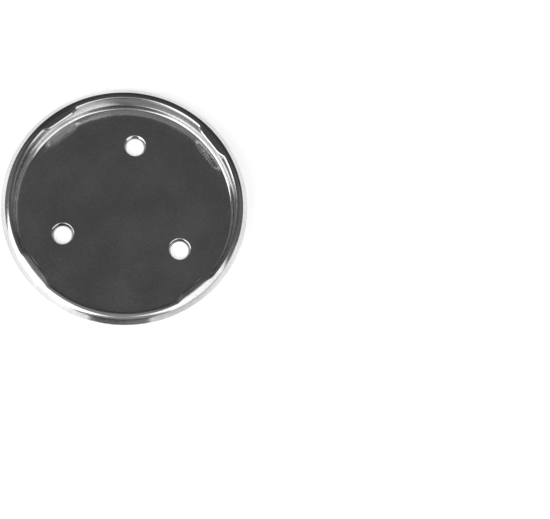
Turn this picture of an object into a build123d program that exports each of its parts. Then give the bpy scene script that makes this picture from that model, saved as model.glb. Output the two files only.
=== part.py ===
"""Bowl base plate of a stand mixer: one shallow dish drawn from a single sheet of steel.

The foot of the bowl drops into the dish and turns under four lugs that are pressed in from the rim.
Three dimpled screw holes fasten the floor of the dish, and the rim turns over into a short flared skirt.
Millimetres, +Z up, origin on the axis of the dish at the level of the three feet under the screw holes.
"""

import os
from math import cos, hypot, radians, sin, tan

from build123d import *

# Sheet and dish
sheet = 1.0
well_diameter = 107.6
well_depth = 12.5
floor_inside_bend = 1.6

# Rim in section from the wall outwards: the lip, the crown and the skirt
rim_width = 6.2
lip_radius = 1.1
lip_flat = 0.3
crown_radius = 3.5
skirt_angle = 50.0

# Lugs pressed in from the rim
lug_count = 4
lug_reach = 2.2
lug_face_length = 13.0
lug_end_angle = 20.0
lug_corner = 4.0
lug_root = 4.0
lug_clear_height = 9.5
lug_nose_height = 0.2
lug_top_rise = 8.0

# Dimpled screw holes
hole_count = 3
hole_circle = 67.0
hole_diameter = 8.4
neck_length = 2.05
countersink_width = 1.25
countersink_angle = 82.0
dimple_root = 0.5

# Bend on the outside of the sheet, and the break of its cut edges and of the holes' mouths
floor_bend = floor_inside_bend + sheet
edge_break = 0.25 * sheet

# Countersunk mouth of a hole with its broken edge, and the radii and levels of the dimple pressed around it
cone_slope = tan(radians(countersink_angle / 2))
mouth_angle = (countersink_angle + 180.0) / 2
mouth_radius = hole_diameter / 2 + countersink_width
neck_out = hole_diameter / 2 + sheet
neck_end = neck_length - sheet * (hypot(1, cone_slope) - 1) / cone_slope

# Levels of the floor and the rim, with the feet of the dimples at zero
floor_top = neck_length + countersink_width / cone_slope
floor_under = floor_top - sheet
rim_top = floor_top + well_depth
root_radius = neck_out + (floor_under - neck_end) * cone_slope

# The first hole lies on +Y, midway between two lugs
hole_start = 90.0
lug_turn = hole_start + 180.0 / lug_count

# Radii of the wall, the lugs and the start of the crown
well_radius = well_diameter / 2
wall_out = well_radius + sheet
nose_radius = well_radius - lug_reach
crown_start = well_radius + lip_radius + lip_flat

# Levels and slopes of a lug: its top, its nose, and its ramp on the face and the back of the sheet
top_slope = tan(radians(lug_top_rise))
nose_top = rim_top + (crown_start - nose_radius) * top_slope
ramp_start = floor_top + lug_clear_height
ramp_slope = lug_reach / (nose_top - lip_radius - lug_nose_height - ramp_start)
back_ramp_start = ramp_start + sheet * (hypot(1, ramp_slope) - 1) / ramp_slope

# The skirt's run and fall along its slope, the radius of its edge before the break, and its straight length
skirt_run = cos(radians(skirt_angle))
skirt_fall = sin(radians(skirt_angle))
skirt_end = well_radius + rim_width + edge_break * min(skirt_run, skirt_fall)
skirt_length = (skirt_end - crown_start - crown_radius * skirt_fall) / skirt_run


def rim_skin(depth, extra=0.0):
    """Draw the crown and the skirt at a depth under the face of the sheet.

    The skirt runs past its edge by the extra length. Returns the two end points.
    """
    crown = JernArc((crown_start, rim_top - depth), (1, 0), crown_radius - depth, -skirt_angle)
    skirt = Line(crown @ 1, crown @ 1 + (crown % 1) * (skirt_length + extra))
    return crown @ 0, skirt @ 1


def rim_level(radius, depth):
    """Height of the lugs' rising tops at a radius, at a depth under the face of the sheet."""
    return rim_top - depth + (crown_start - radius) * top_slope


def lip_edges(part):
    """Edges of the part between the wall with its lugs and the top of the rim."""
    on_top = part.edges().filter_by(lambda edge: (edge @ 0.5).Z > rim_top)
    return on_top.filter_by(lambda edge: hypot((edge @ 0.5).X, (edge @ 0.5).Y) < well_radius + lip_flat)


def round_edges(part, radius):
    """Circular edges of the part with the radius given."""
    circles = part.edges().filter_by(GeomType.CIRCLE)
    return circles.filter_by(lambda edge: round(edge.radius - radius, 3) == 0)


# Plan of one lug on the sketch's X axis, with its ends run out past the wall
with BuildSketch() as lug_plan:
    lug_half = lug_face_length / 2
    lug_run_out = (lug_reach + sheet) / tan(radians(lug_end_angle))
    with BuildLine():
        Polyline(
            (nose_radius, -lug_half),
            (nose_radius, lug_half),
            (wall_out, lug_half + lug_run_out),
            (wall_out, -lug_half - lug_run_out),
            close=True,
        )
    make_face()

# Outline of the well past the lugs, rounded at the lugs' corners and where they leave the wall
with BuildSketch() as well_outline:
    Circle(well_radius)
    with PolarLocations(0, lug_count):
        add(lug_plan.sketch, mode=Mode.SUBTRACT)
    fillet(well_outline.vertices().group_by(SortBy.DISTANCE)[0], lug_corner)
    fillet(well_outline.vertices().group_by(SortBy.DISTANCE)[-1], lug_root)

# The same outline on the back of the sheet
with BuildSketch() as back_outline:
    add(well_outline.sketch)
    offset(amount=sheet)

# Space inside the dish: its full width up to the lugs' ramps, and the lugs' outline above
with BuildPart() as well:
    with BuildSketch(Plane.XZ):
        with BuildLine():
            ramp_end = nose_radius - sheet
            ramp_top = ramp_start + (well_radius - ramp_end) / ramp_slope
            FilletPolyline(
                (0, floor_top), (well_radius, floor_top), (well_radius, ramp_start), radius=floor_inside_bend
            )
            Polyline((well_radius, ramp_start), (ramp_end, ramp_top), (0, ramp_top), (0, floor_top))
        make_face()
    revolve(axis=Axis.Z)
    with BuildSketch(Plane.XY.offset(ramp_start).rotated((0, 0, lug_turn))):
        add(well_outline.sketch)
    extrude(amount=rim_top + sheet - ramp_start)

# Space under the rim, between the back of the wall and the skirt, with the hollows of the lugs,
# which end where the back of the ramp would meet the back of the lug's top
with BuildPart() as rim_hollow:
    hollow_height = rim_level(wall_out, sheet) - back_ramp_start
    hollow_radius = wall_out - hollow_height / (1 / ramp_slope - top_slope)
    with BuildSketch(Plane.XZ):
        with BuildLine():
            inner, outer = rim_skin(sheet, extra=sheet)
            Polyline(
                outer,
                (wall_out, back_ramp_start),
                (hollow_radius, rim_level(hollow_radius, sheet)),
                inner,
            )
        make_face()
    revolve(axis=Axis.Z)
    with BuildSketch(Plane.XY.rotated((0, 0, lug_turn))):
        add(back_outline.sketch)
    extrude(amount=rim_top, mode=Mode.SUBTRACT)

# Metal of one dimple under the floor, around the axis of its hole
with BuildPart() as dimple:
    with BuildSketch(Plane.XZ):
        with BuildLine():
            Polyline(
                (0, 0),
                (neck_out, 0),
                (neck_out, neck_end),
                (root_radius - dimple_root * cone_slope, floor_under - dimple_root),
                (root_radius + dimple_root, floor_under),
                (root_radius + dimple_root, floor_top),
                (0, floor_top),
                close=True,
            )
        make_face()
    revolve(axis=Axis.Z)

# The plate: a solid of revolution, cut out to the sheet, with its dimples and its lip
with BuildPart() as base_plate:
    with BuildSketch(Plane.XZ):
        with BuildLine():
            top_end = nose_radius - sheet
            inner, outer = rim_skin(0)
            FilletPolyline(
                (0, floor_under),
                (wall_out, floor_under),
                (wall_out, back_ramp_start),
                radius=floor_bend,
            )
            Polyline((wall_out, back_ramp_start), outer - Vector(skirt_fall, skirt_run) * sheet, outer)
            Polyline(
                inner,
                (top_end, rim_level(top_end, 0)),
                (0, rim_level(top_end, 0)),
                (0, floor_under),
            )
        make_face()
    revolve(axis=Axis.Z)
    add(rim_hollow.part, mode=Mode.SUBTRACT)
    add(well.part, mode=Mode.SUBTRACT)
    with PolarLocations(hole_circle / 2, hole_count, start_angle=hole_start):
        add(dimple.part)
    with Locations((0, 0, floor_top)):
        with PolarLocations(hole_circle / 2, hole_count, start_angle=hole_start):
            CounterSinkHole(hole_diameter / 2, mouth_radius, counter_sink_angle=countersink_angle)
            CounterSinkHole(hole_diameter / 2, mouth_radius + edge_break, counter_sink_angle=mouth_angle)
    fillet(lip_edges(base_plate), lip_radius)
    chamfer(round_edges(base_plate, skirt_end), edge_break)
    chamfer(round_edges(base_plate, skirt_end - skirt_fall * sheet), edge_break)

base_plate.part.label = "base_plate"
os.makedirs("parts", exist_ok=True)
export_step(base_plate.part, "parts/base_plate.step")
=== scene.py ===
"""Bowl base plate of a stand mixer in polished drawn steel, on a pale floor in soft studio light.

Metres, +Z up, origin on the axis of the dish at the level of its three feet.
"""

from math import atan2, cos, hypot, pi, radians, sin, tan

import bmesh
import bpy
from mathutils import Matrix, Vector


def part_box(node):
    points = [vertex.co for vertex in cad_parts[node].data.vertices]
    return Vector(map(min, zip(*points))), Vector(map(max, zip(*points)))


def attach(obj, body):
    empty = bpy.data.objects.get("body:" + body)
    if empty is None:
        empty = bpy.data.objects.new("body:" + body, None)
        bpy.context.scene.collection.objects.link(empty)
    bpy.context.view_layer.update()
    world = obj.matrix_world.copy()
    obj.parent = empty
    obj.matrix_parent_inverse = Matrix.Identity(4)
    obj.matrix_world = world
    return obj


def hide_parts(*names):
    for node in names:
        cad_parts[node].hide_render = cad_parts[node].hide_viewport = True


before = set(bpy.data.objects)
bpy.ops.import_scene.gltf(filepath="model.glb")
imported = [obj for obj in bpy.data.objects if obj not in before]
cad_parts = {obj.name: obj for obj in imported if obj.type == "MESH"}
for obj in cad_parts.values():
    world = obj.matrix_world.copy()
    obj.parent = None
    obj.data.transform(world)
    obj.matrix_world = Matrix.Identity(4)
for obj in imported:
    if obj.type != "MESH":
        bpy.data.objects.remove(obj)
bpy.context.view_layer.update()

mm = 0.001

# Sheet and dish, in step with the solid
sheet = 1.0 * mm
well_radius = 53.8 * mm
well_depth = 12.5 * mm
floor_inside_bend = 1.6 * mm
lip_radius = 1.1 * mm
lip_flat = 0.3 * mm
crown_radius = 3.5 * mm
skirt_angle = 50.0
edge_round = 0.3 * mm

# Lugs pressed in from the rim, with flatter undersides and broader tops than the solid's
lug_count = 4
lug_first = radians(45)
lug_reach = 2.2 * mm
lug_half = 6.5 * mm
lug_end_slope = tan(radians(20))
lug_clear_height = 10.6 * mm
lug_under_height = 0.35 * mm
lug_back_height = 10.4 * mm
lug_blend = 0.3 * mm
lug_top_rise = 8.0
lug_top_radius = 57.0 * mm

# Dimpled screw holes
hole_count = 3
hole_circle_radius = 33.5 * mm
hole_first = radians(90)
hole_radius = 4.2 * mm
neck_length = 2.05 * mm
mouth_radius = 5.45 * mm
cone_slope = tan(radians(41))
dimple_round = 0.3 * mm

# Finish of the steel: sizes and heights of its marks, and its tones and roughness
grain_size = 0.8 * mm
grain_height = 0.0015 * mm
ripple_size = 14 * mm
ripple_height = 0.02 * mm
smudge_size = 22 * mm
ring_width = 0.7 * mm
ring_height = 0.001 * mm
ring_share = 0.35
draw_line_width = 0.6 * mm
draw_line_height = 0.004 * mm
scratch_angles = (18, 71, 128)
scratch_width = 0.35 * mm
scratch_length = 9 * mm
scratch_depth = 0.002 * mm
scratch_range = (0.68, 0.76)
scratch_dullness = 0.08
smudge_range = (0.35, 0.65)
roughness_range = (0.09, 0.15)
mark_range = (0.9, 1.45)
dark_steel = (0.53, 0.53, 0.535, 1)
light_steel = (0.71, 0.71, 0.715, 1)

# Floor, lights and camera
floor_half_width = 3.0
floor_glow = 0.6
light_distance = 1.0
card_distance = 0.24
card_height = 0.06
room_light = 0.06
camera_turn = 7.92
camera_rise = 74.83
camera_distance = 0.4997
camera_target_height = 12.45 * mm

# Steps of the spun meshes, which are spun as one sector and copied round
sectors = 12
seam_gap = 0.001 * mm
plate_turns = 576
dimple_turns = 96

# Levels and radii that follow, with the plate's width from the solid
outer_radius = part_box("base_plate")[1].x
floor_top = neck_length + (mouth_radius - hole_radius) / cone_slope
rim_top = floor_top + well_depth
floor_under = floor_top - sheet
floor_bend = floor_inside_bend + sheet
wall_out = well_radius + sheet
nose_radius = well_radius - lug_reach
crown_start = well_radius + lip_radius + lip_flat
top_slope = tan(radians(lug_top_rise))
under_start = floor_top + lug_clear_height
under_end = under_start + lug_under_height
back_start = floor_top + lug_back_height
floor_ring = well_radius - floor_bend - sheet
neck_out = hole_radius + sheet
neck_end = neck_length - sheet * (hypot(1, cone_slope) - 1) / cone_slope
root_radius = neck_out + (floor_under - neck_end) * cone_slope
dimple_ring = mouth_radius + 2 * sheet


def rim_level(radius, depth):
    """Height of the rim's top, which rises towards the well, at a depth under the face of the sheet."""
    return rim_top - depth + (crown_start - radius) * top_slope


def polar(radius, angle):
    """A step in the section at an angle in degrees from the outward direction."""
    return Vector((radius * cos(radians(angle)), 0, radius * sin(radians(angle))))


def arc(centre, radius, start, end, steps):
    """Points of an arc in the section, from one angle to another."""
    return [centre + polar(radius, start + (end - start) * step / steps) for step in range(steps + 1)]


def straight(start, end, steps):
    """Points between two points of the section, without the two."""
    return [start.lerp(end, step / steps) for step in range(1, steps)]


def sheet_section():
    """The plate's section from the face of the floor over the rim to the underside of the floor."""
    skirt_turn = 90 - skirt_angle
    floor_middle = Vector((well_radius - floor_inside_bend, 0, floor_top + floor_inside_bend))
    lip_level = rim_level(well_radius + lip_radius, 0) - lip_radius / cos(radians(lug_top_rise))
    lip_middle = Vector((well_radius + lip_radius, 0, lip_level))
    crown_middle = Vector((crown_start, 0, rim_top - crown_radius))
    under_foot = Vector((well_radius, 0, under_start))
    under_top = Vector((well_radius, 0, under_end))
    wall_top = Vector((well_radius, 0, lip_level))

    out, along = polar(1, skirt_turn), polar(1, -skirt_angle)
    edge_line = crown_middle + out * (crown_radius - edge_round)
    edge_middle = edge_line + along * ((outer_radius - edge_round - edge_line.x) / along.x)
    back_middle = edge_middle - out * (sheet - 2 * edge_round)

    back_corner = Vector((wall_out, 0, rim_level(wall_out, sheet)))
    back_floor_middle = Vector((wall_out - floor_bend, 0, floor_under + floor_bend))
    back_foot = Vector((wall_out, 0, back_start))

    face = [Vector((floor_ring, 0, floor_top))]
    face += arc(floor_middle, floor_inside_bend, -90, 0, 10)
    face += straight(face[-1], under_foot, 4) + [under_foot]
    face += straight(under_foot, under_top, 10) + [under_top] + straight(under_top, wall_top, 4)
    face += arc(lip_middle, lip_radius, 180, 90 - lug_top_rise, 12)
    face += straight(face[-1], Vector((crown_start, 0, rim_top)), 3)
    face += arc(crown_middle, crown_radius, 90, skirt_turn, 14)
    edge = arc(edge_middle, edge_round, skirt_turn, -skirt_angle, 5)
    edge += arc(back_middle, edge_round, -skirt_angle, -90 - skirt_angle, 5)
    face += straight(face[-1], edge[0], 5)
    back_crown = arc(crown_middle, crown_radius - sheet, skirt_turn, 90, 10)
    back = straight(edge[-1], back_crown[0], 3) + back_crown
    back += straight(back[-1], back_corner, 2) + [back_corner]
    back += straight(back_corner, back_foot, 12) + [back_foot]
    back += arc(back_floor_middle, floor_bend, 0, -90, 10)
    back += [Vector((floor_ring, 0, floor_under))]
    return face + edge + back


def soft_max(a, b):
    """The larger of two lengths, blended where they are close."""
    near = max(lug_blend - abs(a - b), 0) / lug_blend
    return max(a, b) + near * near * lug_blend / 4


def lug_depth(turn):
    """How far the lugs stand in from the wall at an angle around the plate."""
    pitch = 2 * pi / lug_count
    away = abs((turn - lug_first + pitch / 2) % pitch - pitch / 2)
    nose = nose_radius / cos(away)
    end = (nose_radius - lug_half * lug_end_slope) / (cos(away) - sin(away) * lug_end_slope)
    return well_radius + soft_max(-soft_max(nose, end), -well_radius)


def press_lugs(verts):
    """Press the lugs in from the rim: level undersides, straight noses, and tops that rise towards them."""
    lip_end = well_radius + lip_radius + polar(lip_radius, 90 - lug_top_rise).x
    wall_top = rim_level(well_radius + lip_radius, 0) - lip_radius
    hollow = (rim_level(wall_out, sheet) - back_start) / (1 - top_slope)
    for vert in verts:
        radius = hypot(vert.co.x, vert.co.y)
        on_back = radius > wall_out - seam_gap and vert.co.z < rim_level(radius, sheet / 2)
        start = back_start if on_back else under_start
        top = rim_level(wall_out, sheet) if on_back else wall_top
        inner, outer = (wall_out, crown_start) if on_back else (lip_end, lug_top_radius)
        if vert.co.z <= start or not nose_radius < radius < outer:
            continue
        depth = lug_depth(atan2(vert.co.y, vert.co.x))
        if on_back:
            depth = min(depth, hollow)
        fade = min(1, (outer - radius) / (outer - inner))
        rise = vert.co.z - start
        lift = depth * top_slope * min(1, rise / (top - start))
        turn_in = min(1, rise / lug_under_height)
        push = min(depth, rise + lift) if on_back else depth * turn_in * turn_in * (3 - 2 * turn_in)
        vert.co.z += lift * fade
        vert.co.x *= 1 - push * fade / radius
        vert.co.y *= 1 - push * fade / radius


def spin_section(mesh, points, middle, turns, rounded=0):
    """Spin a section around an upright axis, with its inner corners rounded first where a size is given."""
    verts = [mesh.verts.new(point) for point in points]
    edges = [mesh.edges.new(pair) for pair in zip(verts, verts[1:])]
    if rounded:
        made = bmesh.ops.bevel(
            mesh, geom=verts[1:-1], offset=rounded, segments=4, profile=0.5, material=-1, affect="VERTICES"
        )
        verts = [verts[0], verts[-1]] + made["verts"]
        edges = list({edge for vert in verts for edge in vert.link_edges})
    bmesh.ops.translate(mesh, verts=verts, vec=middle)
    before = set(mesh.verts) - set(verts)
    pitch = 2 * pi / sectors
    bmesh.ops.spin(
        mesh, geom=verts + edges, cent=middle, axis=(0, 0, 1), angle=pitch, steps=turns // sectors
    )
    sector_verts = [vert for vert in mesh.verts if vert not in before]
    sector = sector_verts + list({face for vert in sector_verts for face in vert.link_faces})
    for copy in range(1, sectors):
        made = bmesh.ops.duplicate(mesh, geom=sector)["geom"]
        made_verts = [item for item in made if isinstance(item, bmesh.types.BMVert)]
        bmesh.ops.rotate(mesh, verts=made_verts, cent=middle, matrix=Matrix.Rotation(copy * pitch, 3, "Z"))
    spun = [vert for vert in mesh.verts if vert not in before]
    bmesh.ops.remove_doubles(mesh, verts=spun, dist=seam_gap)
    return [vert for vert in mesh.verts if vert not in before]


def dimple_section():
    """Section of one dimple around its hole, from the face of the floor to its underside."""
    corners = [
        (dimple_ring, floor_top),
        (mouth_radius, floor_top),
        (hole_radius, neck_length),
        (hole_radius, 0),
        (neck_out, 0),
        (neck_out, neck_end),
        (root_radius, floor_under),
        (dimple_ring, floor_under),
    ]
    return [Vector((radius, 0, height)) for radius, height in corners]


def drawn_plate(material):
    """The whole plate as one closed sheet of steel."""
    mesh = bmesh.new()
    for hole in range(hole_count):
        turn = hole_first + 2 * pi * hole / hole_count
        middle = Vector((hole_circle_radius * cos(turn), hole_circle_radius * sin(turn), 0))
        spin_section(mesh, dimple_section(), middle, dimple_turns, rounded=dimple_round)
    press_lugs(spin_section(mesh, sheet_section(), Vector(), plate_turns))
    open_edges = [edge for edge in mesh.edges if edge.is_boundary]
    for level in (floor_top, floor_under):
        rings = [edge for edge in open_edges if abs(edge.verts[0].co.z - level) < sheet / 4]
        bmesh.ops.triangle_fill(mesh, edges=rings, use_beauty=True, normal=(0, 0, 1))
    bmesh.ops.recalc_face_normals(mesh, faces=mesh.faces)
    for face in mesh.faces:
        face.smooth = True
    data = bpy.data.meshes.new("drawn_plate")
    mesh.to_mesh(data)
    mesh.free()
    data.set_sharp_from_angle(angle=radians(35))
    data.materials.append(material)
    plate = bpy.data.objects.new("drawn_plate", data)
    bpy.context.scene.collection.objects.link(plate)
    return plate


def add_node(tree, kind, inputs, **settings):
    """Add a node with its settings, and put values or other nodes' outputs on its inputs."""
    node = tree.nodes.new(kind)
    for name, value in settings.items():
        setattr(node, name, value)
    for key, value in inputs.items():
        if isinstance(value, bpy.types.NodeSocket):
            tree.links.new(value, node.inputs[key])
        else:
            node.inputs[key].default_value = value
    return node


def combine(tree, operation, first, second):
    """The result of a sum on two values."""
    return add_node(tree, "ShaderNodeMath", {0: first, 1: second}, operation=operation).outputs[0]


def patches(tree, place, size, detail):
    """Noise between 0 and 1 in patches of about the size given."""
    return add_node(
        tree, "ShaderNodeTexNoise", {"Vector": place, "Scale": 1 / size, "Detail": detail}
    ).outputs["Fac"]


def remap(tree, value, low, high, new_low, new_high):
    """A value moved from one range to another, and held inside it."""
    ends = {"From Min": low, "From Max": high, "To Min": new_low, "To Max": new_high}
    return add_node(tree, "ShaderNodeMapRange", {"Value": value, **ends}).outputs["Result"]


def stray_scratches(tree, place):
    """Fine scratches that run in a few directions, as a value that is 1 on a scratch."""
    scratches = 0.0
    for angle in scratch_angles:
        turned = add_node(
            tree, "ShaderNodeMapping", {"Vector": place, "Rotation": (0, 0, radians(angle))}
        ).outputs[0]
        drawn_out = add_node(
            tree, "ShaderNodeMapping", {"Vector": turned, "Scale": (scratch_width / scratch_length, 1, 1)}
        ).outputs[0]
        lines = remap(tree, patches(tree, drawn_out, scratch_width, 1.0), *scratch_range, 0.0, 1.0)
        scratches = combine(tree, "MAXIMUM", lines, scratches)
    return scratches


def polished_steel():
    """Drawn steel polished to a soft mirror, with fine grain, draw lines, rub rings and stray scratches."""
    material = bpy.data.materials.new("polished_steel")
    material.use_nodes = True
    tree = material.node_tree
    steel = tree.nodes["Principled BSDF"]
    place = add_node(tree, "ShaderNodeTexCoord", {}).outputs["Object"]
    across, along, up = add_node(tree, "ShaderNodeSeparateXYZ", {"Vector": place}).outputs
    radius = combine(tree, "SQRT", combine(
        tree, "ADD", combine(tree, "MULTIPLY", across, across), combine(tree, "MULTIPLY", along, along)
    ), 0.0)
    turn = combine(tree, "ARCTAN2", along, across)

    grain = patches(tree, place, grain_size, 3.0)
    ripples = patches(tree, place, ripple_size, 1.0)
    smudges = patches(tree, place, smudge_size, 5.0)
    scratches = stray_scratches(tree, place)
    along_ring = combine(tree, "MULTIPLY", turn, sheet)
    round_axis = add_node(tree, "ShaderNodeCombineXYZ", {"X": radius, "Z": along_ring})
    rub_rings = patches(tree, round_axis.outputs[0], ring_width, 2.0)
    up_wall = add_node(tree, "ShaderNodeCombineXYZ", {
        "X": combine(tree, "MULTIPLY", turn, well_radius),
        "Z": combine(tree, "MULTIPLY", up, draw_line_width / well_depth),
    })
    on_wall = remap(tree, radius, floor_ring, well_radius, 0.0, 1.0)
    draw_lines = combine(tree, "MULTIPLY", patches(tree, up_wall.outputs[0], draw_line_width, 2.0), on_wall)

    height = combine(tree, "MULTIPLY", scratches, -scratch_depth)
    for relief, relief_height in (
        (grain, grain_height),
        (ripples, ripple_height),
        (rub_rings, ring_height),
        (draw_lines, draw_line_height),
    ):
        height = combine(tree, "ADD", height, combine(tree, "MULTIPLY", relief, relief_height))
    bump = add_node(tree, "ShaderNodeBump", {"Strength": 1.0, "Distance": 1.0, "Height": height})

    scratched = combine(tree, "MULTIPLY", scratches, scratch_dullness)
    dullness = combine(tree, "ADD", remap(tree, smudges, *smudge_range, *roughness_range), scratched)
    ring_marks = combine(tree, "MULTIPLY", rub_rings, ring_share)
    marks = combine(tree, "ADD", combine(tree, "ADD", grain, smudges), ring_marks)
    tones = add_node(tree, "ShaderNodeValToRGB", {"Fac": remap(tree, marks, *mark_range, 0.0, 1.0)})
    tones.color_ramp.elements[0].color = dark_steel
    tones.color_ramp.elements[1].color = light_steel
    steel.inputs["Metallic"].default_value = 1.0
    tree.links.new(tones.outputs["Color"], steel.inputs["Base Color"])
    tree.links.new(dullness, steel.inputs["Roughness"])
    tree.links.new(bump.outputs["Normal"], steel.inputs["Normal"])
    return material


def pale_floor():
    """A wide pale floor under the feet, lit from below so that it stays white under the plate."""
    material = bpy.data.materials.new("pale_floor")
    material.use_nodes = True
    paint = material.node_tree.nodes["Principled BSDF"]
    paint.inputs["Base Color"].default_value = (0.9, 0.9, 0.9, 1)
    paint.inputs["Roughness"].default_value = 0.9
    paint.inputs["Emission Color"].default_value = (1, 1, 1, 1)
    paint.inputs["Emission Strength"].default_value = floor_glow
    mesh = bmesh.new()
    bmesh.ops.create_grid(mesh, x_segments=1, y_segments=1, size=floor_half_width)
    data = bpy.data.meshes.new("floor")
    mesh.to_mesh(data)
    mesh.free()
    data.materials.append(material)
    floor = bpy.data.objects.new("floor", data)
    bpy.context.scene.collection.objects.link(floor)


def low_card(name, azimuth, spread, tone):
    """A low upright card near the plate, out of the picture, that its skirt mirrors."""
    material = bpy.data.materials.new(name)
    material.use_nodes = True
    paint = material.node_tree.nodes["Principled BSDF"]
    paint.inputs["Base Color"].default_value = (tone, tone, tone, 1)
    paint.inputs["Roughness"].default_value = 0.9
    width = 2 * card_distance * tan(radians(spread / 2))
    turn = Matrix.Rotation(radians(azimuth + camera_turn - 90), 4, "Z")
    upright = Matrix.Translation((0, card_distance, card_height / 2)) @ Matrix.Rotation(radians(90), 4, "X")
    mesh = bmesh.new()
    bmesh.ops.create_grid(mesh, x_segments=1, y_segments=1, size=0.5)
    bmesh.ops.scale(mesh, verts=mesh.verts, vec=(width, card_height, 1))
    bmesh.ops.transform(mesh, verts=mesh.verts, matrix=turn @ upright)
    data = bpy.data.meshes.new(name)
    mesh.to_mesh(data)
    mesh.free()
    data.materials.append(material)
    card = bpy.data.objects.new(name, data)
    card.visible_camera = False
    bpy.context.scene.collection.objects.link(card)


def softbox(name, azimuth, elevation, spread, rise, radiance):
    """A soft light that faces the plate and fills a spread and a rise of degrees, as seen from it.

    The azimuth runs from the picture's right, anticlockwise.
    """
    light = bpy.data.lights.new(name, "AREA")
    light.shape = "RECTANGLE"
    light.size = 2 * light_distance * tan(radians(spread / 2))
    light.size_y = 2 * light_distance * tan(radians(rise / 2))
    light.energy = radiance * pi * light.size * light.size_y
    lamp = bpy.data.objects.new(name, light)
    turn, height = radians(azimuth + camera_turn), radians(elevation)
    lamp.location = light_distance * Vector((cos(turn) * cos(height), sin(turn) * cos(height), sin(height)))
    lamp.rotation_euler = lamp.location.to_track_quat("Z", "Y").to_euler()
    lamp.visible_camera = False
    bpy.context.scene.collection.objects.link(lamp)


def studio_light():
    """A bright softbox at the left, a weaker one at the right, faint fill around them, and a dim room."""
    softbox("left_softbox", 209, 33, 62, 66, 2.0)
    softbox("left_fill", 200, 40, 104, 70, 0.12)
    softbox("right_softbox", 318, 36, 40, 72, 1.3)
    softbox("right_fill", 330, 40, 90, 70, 0.1)
    softbox("front_fill", 270, 38, 60, 76, 0.15)
    softbox("top_fill", 235, 79, 24, 24, 0.2)
    softbox("ceiling", 90, 82, 60, 60, 0.035)
    world = bpy.data.worlds.new("dim_room")
    world.use_nodes = True
    background = world.node_tree.nodes["Background"]
    background.inputs["Color"].default_value = (room_light, room_light, room_light, 1)
    bpy.context.scene.world = world


def photo_camera():
    """A camera at the viewing angle of the photograph, aimed so that the plate lies in its upper left."""
    image_width, image_height = 550, 519
    spot_x, spot_y = 126.08, 204.58
    focal = 1004.86
    turn, rise = radians(camera_turn), radians(camera_rise)
    middle = Vector((0, 0, camera_target_height))
    data = bpy.data.cameras.new("photo_camera")
    data.sensor_width = 36
    data.lens = data.sensor_width * focal / image_width
    camera = bpy.data.objects.new("photo_camera", data)
    back = Vector((sin(turn) * cos(rise), -cos(turn) * cos(rise), sin(rise)))
    camera.location = middle + back * camera_distance
    spot = Vector(((spot_x - image_width / 2) / focal, (image_height / 2 - spot_y) / focal, -1))
    aim = spot.rotation_difference(Vector((0, 0, -1)))
    camera.rotation_euler = (back.to_track_quat("Z", "Y") @ aim).to_euler()
    bpy.context.scene.collection.objects.link(camera)
    bpy.context.scene.camera = camera


plate = drawn_plate(polished_steel())
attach(plate, "root")
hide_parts("base_plate")
pale_floor()
low_card("dark_card", 266, 34, 0.08)
low_card("grey_card", 318, 66, 0.8)
studio_light()
photo_camera()
bpy.context.scene.view_settings.view_transform = "Standard"
